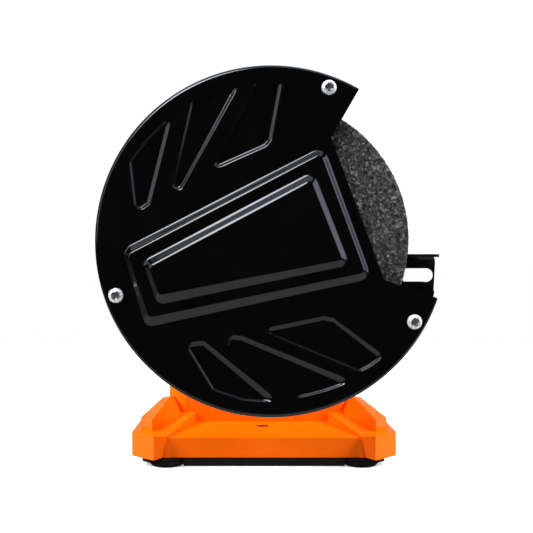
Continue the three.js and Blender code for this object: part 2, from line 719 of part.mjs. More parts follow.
// Rocker drawn level, then tipped to its off position about the pivot.
function switchRocker() {
  const tilt = THREE.MathUtils.degToRad(ROCKER_TILT_DEG);
  const profile = [[-4, -6], [2.5, -9.9], [5.5, -9.7], [7.2, 0], [5.5, 9.7], [2.5, 9.9], [-4, 6]];
  const tipped = profile.map(([u, v]) => [
    SWITCH_PIVOT_X + u * Math.cos(tilt) + v * Math.sin(tilt),
    SWITCH_Z - u * Math.sin(tilt) + v * Math.cos(tilt),
  ]);
  return prismY(tipped, -8.1, 8.1);
}

function capacitor() {
  return cylinderZ(17, -35, 0, PAN_BOTTOM + PAN_SHEET + GAP, 66, 20)
    .add(box(-42, -41, -3, 3, 65, 74))
    .add(box(-29, -28, -3, 3, 65, 74));
}

// Inlet bushing for the supply lead, open right through.
function cordGland() {
  return cylinderX(5.4, 0, GLAND_Z, -82, -72, 14)
    .add(cylinderX(GLAND_R, 0, GLAND_Z, -90.5, -PEDESTAL_HALF_X - GAP, 16))
    .subtract(cylinderX(GLAND_BORE_R, 0, GLAND_Z, -95, -60, 12));
}

// ---------------------------------------------------------------- assembly
const grinder = new THREE.Group();
grinder.name = 'bench_grinder';
const add = (name, body, finish) => grinder.add(piece(name, body, finish));

add('base_casting', baseCasting(), PAINT_ORANGE);
add('bottom_cover', bottomCover(), SATIN_BLACK);
for (const [sx, sy, label] of [[1, -1, 'fl'], [-1, -1, 'bl'], [1, 1, 'fr'], [-1, 1, 'br']]) {
  add(`foot_${label}`, foot(sx, sy), RUBBER);
}
add('motor_housing', motorHousing(), PAINT_ORANGE);
add('stator_core', statorCore(), LAMINATION);
add('stator_windings', statorWindings(), COPPER);
add('capacitor', capacitor(), PLASTIC);
add('switch_housing', switchHousing(), PLASTIC);
add('switch_rocker', switchRocker(), RED_PLASTIC);
add('cord_gland', cordGland(), PLASTIC);
[-1, 1].forEach((sy, i) => add(`saddle_bolt_${i + 1}`, saddleBolt(sy), ZINC));
TIE_DEG.forEach((a, i) => add(`tie_bolt_${i + 1}`, tieBolt(a), ZINC));
add('spindle', spindle(), STEEL);
add('rotor_core', rotorCore(), LAMINATION);

for (const side of [-1, 1]) {
  const tag = sideName(side);
  add(`${tag}_end_bell`, endBell(side), SATIN_BLACK);
  add(`${tag}_bearing_outer`, bearingOuter(side), STEEL);
  add(`${tag}_bearing_inner`, bearingInner(side), STEEL);
  add(`${tag}_bearing_balls`, bearingBalls(side), STEEL);
  add(`${tag}_inner_flange`, wheelFlange(side, false), STEEL);
  add(`${tag}_wheel`, grindingWheel(side), ABRASIVE);
  add(`${tag}_outer_flange`, wheelFlange(side, true), STEEL);
  add(`${tag}_wheel_nut`, wheelNut(side), ZINC);
  add(`${tag}_guard_back`, guardBack(side), GLOSS_BLACK);
  add(`${tag}_guard_rim`, guardRim(side), GLOSS_BLACK);
  add(`${tag}_guard_cover`, guardCover(side), GLOSS_BLACK);
  SCREW_DEG.forEach((a, i) => add(`${tag}_cover_screw_${i + 1}`, coverScrew(side, a), ZINC));
  GUARD_BOLT_DEG.forEach((a, i) => add(`${tag}_guard_bolt_${i + 1}`, guardBolt(side, a), ZINC));
  add(`${tag}_tool_rest`, toolRest(side), SATIN_BLACK);
  add(`${tag}_rest_knob`, restKnob(side), PLASTIC);
}

export default grinder;
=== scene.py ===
from math import cos, hypot, pi, radians, sin

import bmesh
import bpy
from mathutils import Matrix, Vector, noise


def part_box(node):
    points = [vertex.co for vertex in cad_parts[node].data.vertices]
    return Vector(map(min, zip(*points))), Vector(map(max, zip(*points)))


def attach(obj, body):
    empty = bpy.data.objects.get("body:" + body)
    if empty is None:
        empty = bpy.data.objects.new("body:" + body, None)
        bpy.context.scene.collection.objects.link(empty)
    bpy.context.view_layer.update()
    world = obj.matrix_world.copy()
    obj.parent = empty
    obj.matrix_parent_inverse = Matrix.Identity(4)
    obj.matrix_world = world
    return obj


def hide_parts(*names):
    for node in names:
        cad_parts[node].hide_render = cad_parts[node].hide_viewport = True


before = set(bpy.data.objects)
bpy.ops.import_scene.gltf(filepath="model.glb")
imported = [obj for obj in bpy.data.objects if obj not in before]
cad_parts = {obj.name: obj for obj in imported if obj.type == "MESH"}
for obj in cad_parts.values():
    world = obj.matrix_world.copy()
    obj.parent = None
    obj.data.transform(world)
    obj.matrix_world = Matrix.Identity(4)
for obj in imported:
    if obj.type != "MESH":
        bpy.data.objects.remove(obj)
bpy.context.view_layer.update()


# Camera: level, in front of the left guard and a little towards the operator's side.
# It looks straight along the spindle, and a small shift frames the machine.
camera = bpy.data.objects.new("camera", bpy.data.cameras.new("camera"))
bpy.context.scene.collection.objects.link(camera)
camera.location = (-0.0214, -0.893, 0.175)
camera.rotation_euler = (radians(90), 0, 0)
camera.data.sensor_width = 36
camera.data.lens = 67.54
camera.data.shift_x = 0.0553
camera.data.shift_y = -0.0403
camera.data.clip_end = 50
bpy.context.scene.camera = camera
bpy.context.scene.view_settings.view_transform = "Standard"


# Studio: a white table that reads pure white, a big soft light overhead, a key in front and
# above, a light on each side and a low backdrop. The key only shows in reflections; the
# fills only brighten, so that the room in front of the machine stays dark in the gloss.
def soft_light(name, place, aim, width, height, radiance, tint=(1, 1, 1), mirrored=True,
               spreads=True):
    data = bpy.data.lights.new(name, "AREA")
    data.shape = "RECTANGLE"
    data.size = width
    data.size_y = height
    data.energy = radiance * pi * width * height
    data.color = tint
    light = bpy.data.objects.new(name, data)
    light.location = place
    light.rotation_euler = (Vector(aim) - Vector(place)).to_track_quat("-Z", "Y").to_euler()
    light.visible_camera = False
    light.visible_glossy = mirrored
    light.visible_diffuse = spreads
    bpy.context.scene.collection.objects.link(light)


KEY_PLACE = (-0.5, -1.25, 1.15)
KEY_AIM = (0, -0.2, 0.18)
soft_light("overhead", (-0.1, -0.05, 1.5), (0, 0, 0.1), 2.0, 1.9, 1.5, (0.68, 0.8, 1.0))
soft_light("key", KEY_PLACE, KEY_AIM, 0.7, 0.75, 17.0, (0.9, 0.93, 1.0), spreads=False)
soft_light("key_fill", KEY_PLACE, KEY_AIM, 0.6, 0.34, 9.0, mirrored=False)
soft_light("right_side", (1.2, -0.4, 0.5), (0, -0.1, 0.17), 0.9, 0.9, 2.9, (0.74, 0.8, 1.0))
soft_light("left_high", (-1.1, -0.9, 0.62), (0, -0.15, 0.25), 0.8, 0.9, 1.9, (0.78, 0.86, 1.0))
soft_light("backdrop", (0, 1.7, 0.22), (0, 0, 0.2), 3.2, 0.5, 1.3)
soft_light("left_fill", (-1.1, -0.35, 0.9), (0, 0, 0.05), 0.6, 0.5, 35.0, mirrored=False)
soft_light("right_fill", (1.1, -0.35, 0.9), (0, 0, 0.05), 0.6, 0.5, 31.0, mirrored=False)
soft_light("top_fill", (0, -0.3, 1.4), (0, -0.15, 0.02), 0.8, 0.8, 5.0, mirrored=False)


def add_node(tree, kind, inputs=None, **settings):
    """New node in a tree; a value in inputs is a number, a colour or the socket to link from."""
    made = tree.nodes.new(kind)
    for key, value in settings.items():
        setattr(made, key, value)
    for key, value in (inputs or {}).items():
        if isinstance(value, bpy.types.NodeSocket):
            tree.links.new(value, made.inputs[key])
        else:
            made.inputs[key].default_value = value
    return made


def compute(tree, operation, *values):
    """One maths node; each value is a number or a socket."""
    made = add_node(tree, "ShaderNodeMath", dict(enumerate(values)), operation=operation)
    return made.outputs[0]


def mix_shaders(tree, share, first, second):
    return add_node(tree, "ShaderNodeMixShader", {0: share, 1: first, 2: second}).outputs[0]


WHITE = (1, 1, 1, 1)
world = bpy.data.worlds.new("studio")
world.use_nodes = True
bpy.context.scene.world = world
sky = world.node_tree
sky_path = add_node(sky, "ShaderNodeLightPath")
sky_dim = sky.nodes["Background"]
sky_dim.inputs["Color"].default_value = WHITE
sky_dim.inputs["Strength"].default_value = 0.02
sky_white = add_node(sky, "ShaderNodeBackground", {"Color": WHITE, "Strength": 1.05})
sky_mix = mix_shaders(sky, sky_path.outputs["Is Camera Ray"], sky_dim.outputs[0],
                      sky_white.outputs[0])
sky.links.new(sky_mix, sky.nodes["World Output"].inputs["Surface"])

# Away from the machine the table fades into the backdrop. In reflections it is a small
# table in a dark room, so that only the downward slopes of the cover mirror it. It throws
# back little light on the walls above it.
TABLE_FRONT = -0.355
TABLE_SIDE = 0.3
FADE_START = 0.55
BOUNCE_LOSS = 0.65
MIRROR_LOSS = 0.76
SIDE_LOSS = 0.92
bpy.ops.mesh.primitive_circle_add(vertices=96, radius=9, fill_type="NGON")
floor = bpy.context.object
floor.name = "floor"
floor_material = bpy.data.materials.new("white_table")
floor_material.use_nodes = True
table = floor_material.node_tree
floor_shader = table.nodes["Principled BSDF"]
floor_shader.inputs["Base Color"].default_value = (0.9, 0.9, 0.9, 1)
floor_shader.inputs["Roughness"].default_value = 0.9
floor_shader.inputs["Specular IOR Level"].default_value = 0.0
floor_shader.inputs["Emission Color"].default_value = WHITE
floor_shader.inputs["Emission Strength"].default_value = 0.45


def table_range(value, start, end, low, high):
    limits = {"Value": value, "From Min": start, "From Max": end, "To Min": low, "To Max": high}
    return add_node(table, "ShaderNodeMapRange", limits).outputs["Result"]


table_place = add_node(table, "ShaderNodeTexCoord").outputs["Object"]
table_axes = add_node(table, "ShaderNodeSeparateXYZ", {"Vector": table_place})
reach = add_node(table, "ShaderNodeVectorMath", {0: table_place}, operation="LENGTH")
table_path = add_node(table, "ShaderNodeLightPath")
backdrop_white = add_node(table, "ShaderNodeEmission").outputs[0]
dark_room = add_node(table, "ShaderNodeEmission", {"Strength": 0.02}).outputs[0]
fade = table_range(reach.outputs["Value"], FADE_START, FADE_START + 0.5, 0.0, 1.0)
lit = mix_shaders(table, fade, floor_shader.outputs["BSDF"], backdrop_white)
past_front = table_range(table_axes.outputs["Y"], TABLE_FRONT, TABLE_FRONT - 0.03, MIRROR_LOSS, 1.0)
sideways = compute(table, "ABSOLUTE", table_axes.outputs["X"])
past_side = table_range(sideways, TABLE_SIDE, TABLE_SIDE + 0.1, MIRROR_LOSS, SIDE_LOSS)
past_edge = compute(table, "MAXIMUM", past_front, past_side)
unseen = compute(table, "MULTIPLY", past_edge, table_path.outputs["Is Glossy Ray"])
held_back = compute(table, "MULTIPLY", table_path.outputs["Is Diffuse Ray"], BOUNCE_LOSS)
dimmed = compute(table, "MAXIMUM", unseen, held_back)
table.links.new(mix_shaders(table, dimmed, lit, dark_room),
                table.nodes["Material Output"].inputs["Surface"])
floor.data.materials.append(floor_material)


# Rubber feet: four black moulded pads pushed into the underside of the base.
# Each is turned, with a rounded tread edge and a shallow groove round its waist.
def new_finish(name, **values):
    """New material, its shader and its object coordinates."""
    material = bpy.data.materials.new(name)
    material.use_nodes = True
    shader = material.node_tree.nodes["Principled BSDF"]
    for key, value in values.items():
        shader.inputs[key.replace("_", " ")].default_value = value
    place = add_node(material.node_tree, "ShaderNodeTexCoord").outputs["Object"]
    return material, shader, place


def grain(place, scale, detail=3.0, roughness=0.5):
    sizes = {"Vector": place, "Scale": scale, "Detail": detail, "Roughness": roughness}
    return add_node(place.id_data, "ShaderNodeTexNoise", sizes).outputs["Fac"]


def ramp(value, *stops):
    """Colour ramp; each stop is (position, grey or (r, g, b))."""
    made = add_node(value.id_data, "ShaderNodeValToRGB", {"Fac": value})
    elements = made.color_ramp.elements
    while len(elements) < len(stops):
        elements.new(0.5)
    for element, (position, colour) in zip(elements, stops):
        element.position = position
        rgb = colour if isinstance(colour, tuple) else (colour, colour, colour)
        element.color = (*rgb, 1)
    return made.outputs["Color"]


def mottled(place, scale, detail, *stops):
    """Fine noise turned into colours or greys."""
    return ramp(grain(place, scale, detail), *stops)


def feed(shader, name, value):
    """Links a value to one input of the shader."""
    shader.id_data.links.new(value, shader.inputs[name])


def bump(height, depth, strength=1.0, under=None):
    inputs = {"Height": height, "Distance": depth, "Strength": strength}
    if under is not None:
        inputs["Normal"] = under
    return add_node(height.id_data, "ShaderNodeBump", inputs).outputs["Normal"]


def rounded(points, radius, closed=True, steps=4):
    """Outline with each corner replaced by an arc; an open outline keeps its two ends."""
    result = []
    count = len(points)
    for i, point in enumerate(points):
        here = Vector(point)
        if not closed and i in (0, count - 1):
            result.append(here)
            continue
        back = Vector(points[i - 1]) - here
        ahead = Vector(points[(i + 1) % count]) - here
        turn = pi - back.angle(ahead)
        reach = min(radius * abs(sin(turn / 2) / cos(turn / 2)), back.length / 2.2, ahead.length / 2.2)
        start = here + back.normalized() * reach
        end = here + ahead.normalized() * reach
        for k in range(steps + 1):
            t = k / steps
            result.append(start.lerp(here, t).lerp(here.lerp(end, t), t))
    return result


def turned(profile, axis, centre, steps=96, lobed=None):
    """Closed body turned about an axis; profile points are (radius, distance along it).
    lobed gives the share of a radius at an angle, for a body that isn't round."""
    bm = bmesh.new()
    rings = []
    for radius, along in profile:
        spots = [0] if radius < 1e-7 else [2 * pi * k / steps for k in range(steps)]
        ring = []
        for angle in spots:
            size = radius * lobed(radius, angle) if lobed else radius
            u = size * cos(angle)
            v = size * sin(angle)
            spot = {"X": (along, u, v), "Y": (u, along, v), "Z": (u, v, along)}[axis]
            ring.append(bm.verts.new(Vector(spot) + Vector(centre)))
        rings.append(ring)
    pairs = list(zip(rings, rings[1:]))
    if len(rings[0]) > 1:
        pairs.append((rings[-1], rings[0]))
    for low, high in pairs:
        for k in range(steps):
            n = (k + 1) % steps
            corners = [low[k % len(low)], low[n % len(low)], high[n % len(high)], high[k % len(high)]]
            corners = list(dict.fromkeys(corners))
            if len(corners) > 2:
                bm.faces.new(corners)
    bmesh.ops.recalc_face_normals(bm, faces=bm.faces)
    return bm


def piece(name, bm, material, sharp=35):
    """Object at the origin from a bmesh, smooth except where faces meet at a sharp angle."""
    mesh = bpy.data.meshes.new(name)
    bm.to_mesh(mesh)
    bm.free()
    mesh.materials.append(material)
    mesh.polygons.foreach_set("use_smooth", [True] * len(mesh.polygons))
    mesh.set_sharp_from_angle(angle=radians(sharp))
    made = bpy.data.objects.new(name, mesh)
    bpy.context.scene.collection.objects.link(made)
    return made


rubber, shader, place = new_finish("rubber", Specular_IOR_Level=0.12)
mottle = grain(place, 260, 4)
feed(shader, "Base Color", ramp(mottle, (0.3, 0.004), (0.75, 0.012)))
feed(shader, "Roughness", ramp(mottle, (0.2, 0.68), (0.8, 0.92)))
feed(shader, "Normal", bump(grain(place, 1400, 2), 0.00012, 0.6))

FOOT_PROFILE = [
    (0, 0), (0.0122, 0), (0.014, 0.0018), (0.014, 0.0034), (0.0134, 0.004), (0.0134, 0.0046),
    (0.014, 0.0052), (0.014, 0.0068), (0.0132, 0.0077), (0, 0.0077),
]
for corner in ("fl", "bl", "fr", "br"):
    low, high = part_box(f"foot_{corner}")
    middle = ((low[0] + high[0]) / 2, (low[1] + high[1]) / 2, low[2])
    bm = turned(rounded(FOOT_PROFILE, 0.0005, closed=False, steps=3), "Z", middle, 72)
    foot = piece(f"rubber_foot_{corner}", bm, rubber)
    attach(foot, "root")
    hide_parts(f"foot_{corner}")


# Base: one hollow casting with corner posts, sloping arms, ribs and the motor pedestal.
# Orange satin-gloss enamel over the cast skin, with a few chips along the worn edges.
def eased(name, node, width, material, segments=3, angle=24, sharp=35):
    """Copy of a CAD piece with its triangles merged and its hard edges rounded over."""
    bm = bmesh.new()
    bm.from_mesh(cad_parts[node].data)
    bmesh.ops.remove_doubles(bm, verts=bm.verts, dist=2e-5)
    bmesh.ops.dissolve_limit(bm, angle_limit=radians(1.5), verts=bm.verts, edges=bm.edges)
    edge_mark = bm.faces.layers.float.new("edge")
    hard = [e for e in bm.edges if e.is_manifold and e.calc_face_angle(0) > radians(angle)]
    eased_faces = bmesh.ops.bevel(bm, geom=hard, offset=width, offset_type="OFFSET", segments=segments,
                                  profile=0.5, affect="EDGES", clamp_overlap=True)["faces"]
    for face in eased_faces:
        face[edge_mark] = 1.0
    made = piece(name, bm, material, sharp)
    even = made.modifiers.new("even_shading", "WEIGHTED_NORMAL")
    even.keep_sharp = True
    apply_modifiers(made)
    return made


def apply_modifiers(made):
    """Turns what the modifiers make into the object's own mesh."""
    graph = bpy.context.evaluated_depsgraph_get()
    mesh = bpy.data.meshes.new_from_object(made.evaluated_get(graph), depsgraph=graph)
    made.modifiers.clear()
    made.data = mesh


orange, shader, place = new_finish("orange_enamel", Specular_Tint=(1.0, 0.45, 0.12, 1),
                                   Specular_IOR_Level=0.4)
tree = orange.node_tree
paint = mottled(place, 22, 4, (0.3, (0.92, 0.118, 0.0006)), (0.7, (0.98, 0.136, 0.0012)))
edge = add_node(tree, "ShaderNodeAttribute", attribute_name="edge").outputs["Fac"]
chip_spots = mottled(place, 330, 3, (0.71, 0.0), (0.73, 1.0))
chips = compute(tree, "MULTIPLY", edge, chip_spots)
BARE_CHIP = (0.16, 0.15, 0.15, 1)
skin = add_node(tree, "ShaderNodeMixRGB", {"Fac": chips, "Color1": paint, "Color2": BARE_CHIP})
feed(shader, "Base Color", skin.outputs["Color"])
feed(shader, "Roughness", mottled(place, 90, 5, (0.25, 0.16), (0.8, 0.27)))
cast_skin = bump(grain(place, 120, 4), 0.0002, 0.4)
feed(shader, "Normal", bump(grain(place, 900, 2), 0.00002, 0.5, cast_skin))

base = eased("base_shell", "base_casting", 0.0016, orange)
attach(base, "root")
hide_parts("base_casting")


# Bench bolt holes: countersunk, each with a thin turned lining whose dark brown colour is painted
# shade, so that the bore walls read as shaded. A lining lies in each of the two holes.
painted_shade_lining, shader, place = new_finish("painted_shade_lining", Metallic=0.3)
feed(shader, "Base Color", mottled(place, 500, 4, (0.3, (0.05, 0.014, 0.003)),
                                   (0.7, (0.13, 0.035, 0.006))))
feed(shader, "Roughness", mottled(place, 300, 3, (0.3, 0.5), (0.7, 0.8)))
feed(shader, "Normal", bump(grain(place, 1500, 2), 0.0001, 0.6))
BENCH_HOLE_Y = 0.0565
for side, name in ((-1, "left"), (1, "right")):
    lining = [(0.0057, 0.02355), (0.0052, 0.0224), (0.00424, 0.0222), (0.00424, 0.0085),
              (0.0038, 0.0085), (0.0038, 0.0218), (0.0049, 0.02205), (0.0053, 0.0235)]
    bm = turned(lining, "Z", (0, side * BENCH_HOLE_Y, 0), 48)
    hole = piece(f"{name}_bench_hole", bm, painted_shade_lining)
    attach(hole, "root")


# Bottom cover: a shallow pressed pan, satin black, that closes the underside of the base.
# Its flat hangs a little lower than the CAD's, so that it shows below the base.
satin_black, shader, place = new_finish("satin_black", Specular_IOR_Level=0.25)
feed(shader, "Base Color", mottled(place, 60, 4, (0.3, 0.0012), (0.7, 0.003)))
feed(shader, "Roughness", mottled(place, 140, 5, (0.3, 0.3), (0.75, 0.48)))
feed(shader, "Normal", bump(grain(place, 900, 3), 0.00006, 0.6))

PAN_DROP = 0.0014
PAN_FLAT = 0.0012
pan = eased("bottom_pan", "bottom_cover", 0.0006, satin_black, 2)
pan_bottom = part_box("bottom_cover")[0][2]
for vertex in pan.data.vertices:
    if vertex.co.z < pan_bottom + PAN_FLAT:
        vertex.co.z -= PAN_DROP
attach(pan, "root")
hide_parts("bottom_cover")


# Motor housing: a cast barrel bolted down on the saddle, orange like the base, with a
# plain collar at each end and low cooling fins along it except where it sits in the saddle.
SPINDLE = Vector((0, 0, 0.179))
low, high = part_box("motor_housing")
barrel_r = (high[0] - low[0]) / 2
barrel_half = high[1]
fin_root = barrel_r - 0.002
bore = barrel_r - 0.0045
barrel_profile = [
    (barrel_r, -barrel_half), (barrel_r, -barrel_half + 0.01), (fin_root, -barrel_half + 0.012),
    (fin_root, barrel_half - 0.012), (barrel_r, barrel_half - 0.01), (barrel_r, barrel_half),
    (bore, barrel_half), (bore, -barrel_half),
]
barrel = piece("motor_barrel", turned(rounded(barrel_profile, 0.0008), "Y", SPINDLE, 160), orange)
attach(barrel, "root")
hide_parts("motor_housing")


def geometry_tree(name, inputs):
    """Geometry Nodes tree with the given named inputs, those inputs' sockets and its output."""
    tree = bpy.data.node_groups.new(name, "GeometryNodeTree")
    tree.interface.new_socket("Geometry", in_out="INPUT", socket_type="NodeSocketGeometry")
    for label, kind, value in inputs:
        socket = tree.interface.new_socket(label, in_out="INPUT", socket_type=kind)
        if value is not None:
            socket.default_value = value
    tree.interface.new_socket("Geometry", in_out="OUTPUT", socket_type="NodeSocketGeometry")
    return tree, tree.nodes.new("NodeGroupInput").outputs, tree.nodes.new("NodeGroupOutput")


def run_geometry(name, tree, source, values, material):
    """Runs a tree on a mesh and returns the plain mesh object that it makes."""
    made = bpy.data.objects.new(name, source)
    bpy.context.scene.collection.objects.link(made)
    modifier = made.modifiers.new("build", "NODES")
    modifier.node_group = tree
    for item in tree.interface.items_tree:
        if item.in_out == "INPUT" and item.name in values:
            modifier[item.identifier] = values[item.name]
    apply_modifiers(made)
    made.data.materials.clear()
    made.data.materials.append(material)
    return made


fins, given, out = geometry_tree("fins_round_barrel", [
    ("Count", "NodeSocketInt", 30), ("Barrel radius", "NodeSocketFloat", 0.073),
    ("Fin length", "NodeSocketFloat", 0.1), ("Fin height", "NodeSocketFloat", 0.002),
    ("Fin width", "NodeSocketFloat", 0.0022), ("Arc", "NodeSocketFloat", 4.6),
    ("Material", "NodeSocketMaterial", None),
])
index = add_node(fins, "GeometryNodeInputIndex").outputs[0]
last = compute(fins, "SUBTRACT", given["Count"], 1.0)
share = compute(fins, "DIVIDE", index, last)
middle = compute(fins, "SUBTRACT", share, 0.5)
angle = compute(fins, "MULTIPLY", middle, given["Arc"])
spot = add_node(fins, "ShaderNodeCombineXYZ", {
    "X": compute(fins, "SINE", angle), "Z": compute(fins, "COSINE", angle)}).outputs[0]
spot = add_node(fins, "ShaderNodeVectorMath", {0: spot, "Scale": given["Barrel radius"]},
                operation="SCALE").outputs[0]
points = add_node(fins, "GeometryNodePoints", {"Count": given["Count"], "Position": spot}).outputs[0]
fin_size = add_node(fins, "ShaderNodeCombineXYZ", {
    "X": given["Fin width"], "Y": given["Fin length"], "Z": given["Fin height"]}).outputs[0]
fin = add_node(fins, "GeometryNodeMeshCube", {"Size": fin_size}).outputs["Mesh"]
turn = add_node(fins, "ShaderNodeCombineXYZ", {"Y": angle}).outputs[0]
placed = add_node(fins, "GeometryNodeInstanceOnPoints", {
    "Points": points, "Instance": fin, "Rotation": turn}).outputs[0]
real = add_node(fins, "GeometryNodeRealizeInstances", {"Geometry": placed}).outputs[0]
painted = add_node(fins, "GeometryNodeSetMaterial", {
    "Geometry": real, "Material": given["Material"]}).outputs[0]
fins.links.new(painted, out.inputs[0])
FIN_COUNT = 33
FIN_HEIGHT = 0.0026
FIN_SINK = 0.0006
barrel_fins = run_geometry("barrel_fins", fins, bpy.data.meshes.new("fins_seed"), {
    "Count": FIN_COUNT, "Barrel radius": fin_root + FIN_HEIGHT / 2 - FIN_SINK,
    "Fin length": 2 * barrel_half - 0.03, "Fin height": FIN_HEIGHT, "Fin width": 0.0024,
    "Arc": radians(265), "Material": orange,
}, orange)
for vertex in barrel_fins.data.vertices:
    vertex.co += SPINDLE
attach(barrel_fins, "root")


# End bells: black cast covers that carry the bearings and close both ends of the motor.
# Four pockets in each take the heads and nuts of the long bolts that clamp them together.
def cut(made, cutters):
    """Subtracts closed bmesh bodies from an object."""
    for bm in cutters:
        mesh = bpy.data.meshes.new("cutter")
        bm.to_mesh(mesh)
        bm.free()
        tool = bpy.data.objects.new("cutter", mesh)
        bpy.context.scene.collection.objects.link(tool)
        modifier = made.modifiers.new("cut", "BOOLEAN")
        modifier.operation = "DIFFERENCE"
        modifier.solver = "EXACT"
        modifier.object = tool
        apply_modifiers(made)
        bpy.data.objects.remove(tool)


cast_black, shader, place = new_finish("cast_black", Coat_Weight=0.2, Coat_Roughness=0.25)
feed(shader, "Base Color", mottled(place, 50, 4, (0.3, 0.007), (0.7, 0.016)))
feed(shader, "Roughness", mottled(place, 120, 5, (0.3, 0.34), (0.75, 0.52)))
rough_cast = bump(grain(place, 260, 5, 0.6), 0.0003, 0.5)
feed(shader, "Normal", bump(grain(place, 1500, 2), 0.00004, 0.5, rough_cast))

TIE_RADIUS = 0.0672
TIE_POCKET_R = 0.006
TIE_POCKET_FLOOR = 0.086
TIE_POCKET_MOUTH = 0.1
for side, name in ((-1, "left"), (1, "right")):
    profile = [
        (0.075, 0.0703), (0.075, 0.08), (0.07, 0.086), (0.05, 0.13), (0.05, 0.1417),
        (0.012, 0.1417), (0.012, 0.1264), (0.0238, 0.1264), (0.0238, 0.1117), (0.0275, 0.1117),
        (0.0275, 0.133), (0.0455, 0.133), (0.0455, 0.127), (0.0705, 0.078), (0.0705, 0.0703),
    ]
    profile = [(r, side * y) for r, y in rounded(profile, 0.0022)]
    bell = piece(f"{name}_bell", turned(profile, "Y", SPINDLE, 144), cast_black)
    pockets = []
    for quarter in range(4):
        angle = radians(45 + 90 * quarter)
        spot = SPINDLE + Vector((TIE_RADIUS * cos(angle), 0, TIE_RADIUS * sin(angle)))
        reach = [(0, side * TIE_POCKET_FLOOR), (TIE_POCKET_R, side * TIE_POCKET_FLOOR),
                 (TIE_POCKET_R, side * TIE_POCKET_MOUTH), (0, side * TIE_POCKET_MOUTH)]
        pockets.append(turned(reach, "Y", spot, 32))
    cut(bell, pockets)
    bell.data.set_sharp_from_angle(angle=radians(35))
    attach(bell, "root")
    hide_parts(f"{name}_end_bell")


# Zinc-plated fasteners: the tie bolts through the motor, the guard bolts and saddle bolts.
# They keep their CAD shapes, with the edges of heads and nuts rounded over.
zinc, shader, place = new_finish("zinc_plate", Metallic=1.0)
feed(shader, "Base Color", mottled(place, 240, 4, (0.3, (0.5, 0.51, 0.53)),
                                   (0.7, (0.78, 0.78, 0.77))))
feed(shader, "Roughness", mottled(place, 700, 4, (0.25, 0.2), (0.8, 0.42)))
feed(shader, "Normal", bump(grain(place, 1800, 2), 0.00002, 0.5))

bolts = [f"tie_bolt_{k}" for k in range(1, 5)] + ["saddle_bolt_1", "saddle_bolt_2"]
bolts += [f"{name}_guard_bolt_{k}" for name in ("left", "right") for k in (1, 2, 3)]
for bolt in bolts:
    eased_bolt = eased(f"{bolt}_steel", bolt, 0.00035, zinc, 2, 40)
    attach(eased_bolt, "root")
    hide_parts(bolt)


# Motor insides, closed in by the housing: laminated cores, varnished copper coils, the
# starting capacitor, the ball bearings and the turned spindle. They keep their CAD shapes.
laminated, shader, place = new_finish("laminations", Metallic=0.8)
wave = {"Vector": place, "Scale": 320.0, "Distortion": 0.4}
sheets = add_node(laminated.node_tree, "ShaderNodeTexWave", wave, bands_direction="Y").outputs["Fac"]
feed(shader, "Base Color", ramp(sheets, (0.2, 0.1), (0.8, 0.24)))
feed(shader, "Roughness", mottled(place, 300, 3, (0.3, 0.45), (0.7, 0.65)))
feed(shader, "Normal", bump(sheets, 0.0001, 0.5))

copper, shader, place = new_finish("copper_wire", Metallic=0.7, Coat_Weight=0.6)
wave = {"Vector": place, "Scale": 260.0, "Distortion": 3.0, "Detail": 2.0}
strands = add_node(copper.node_tree, "ShaderNodeTexWave", wave, wave_type="RINGS",
                   rings_direction="Y").outputs["Fac"]
feed(shader, "Base Color", ramp(strands, (0.2, (0.25, 0.08, 0.02)), (0.8, (0.62, 0.25, 0.09))))
feed(shader, "Roughness", mottled(place, 200, 3, (0.3, 0.3), (0.7, 0.5)))
feed(shader, "Normal", bump(strands, 0.0004, 0.7))

steel, shader, place = new_finish("turned_steel", Metallic=1.0)
wave = {"Vector": place, "Scale": 900.0, "Distortion": 1.5, "Detail": 2.0}
lathe_marks = add_node(steel.node_tree, "ShaderNodeTexWave", wave,
                       bands_direction="Y").outputs["Fac"]
feed(shader, "Base Color", mottled(place, 90, 4, (0.3, 0.38), (0.7, 0.55)))
feed(shader, "Roughness", ramp(lathe_marks, (0.2, 0.24), (0.8, 0.4)))
feed(shader, "Normal", bump(lathe_marks, 0.00003, 0.5))

plastic, shader, place = new_finish("black_moulding")
feed(shader, "Base Color", mottled(place, 80, 3, (0.3, 0.009), (0.7, 0.017)))
feed(shader, "Roughness", mottled(place, 500, 4, (0.3, 0.42), (0.75, 0.62)))
feed(shader, "Normal", bump(grain(place, 2200, 2), 0.00008, 0.6))

inside = {"stator_core": laminated, "rotor_core": laminated, "stator_windings": copper,
          "spindle": steel, "capacitor": plastic}
for name in ("left", "right"):
    for part in ("bearing_outer", "bearing_inner", "bearing_balls"):
        inside[f"{name}_{part}"] = steel
for node, finish in inside.items():
    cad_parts[node].data.materials.clear()
    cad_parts[node].data.materials.append(finish)


# Guards: deep-drawn black enamelled sheet. Each has a body bolted on the end bell and a cover
# screwed on its lugs; both are cut away at the front for the work opening.
gloss_black, shader, place = new_finish("gloss_black", IOR=1.48)
feed(shader, "Base Color", mottled(place, 30, 4, (0.3, 0.0006), (0.7, 0.0013)))
feed(shader, "Roughness", ramp(grain(place, 70, 6, 0.6), (0.3, 0.06), (0.75, 0.14)))
ripple = bump(grain(place, 45, 2), 0.00012, 0.35)
feed(shader, "Normal", bump(grain(place, 1300, 2), 0.000005, 0.2, ripple))

GUARD = Vector((0.00227, 0, 0.1775))
NOTCH_TOP = 60.0
NOTCH_BOTTOM = -18.8
NOTCH_RADIUS = 0.083
ARC_STEPS = 220


def polar(radius, degrees):
    return (radius * cos(radians(degrees)), radius * sin(radians(degrees)))


def loop(bm, spots):
    """Closed ring of vertices with its edges."""
    verts = [bm.verts.new(spot) for spot in spots]
    edges = [bm.edges.new((a, b)) for a, b in zip(verts, verts[1:] + verts[:1])]
    return verts, edges


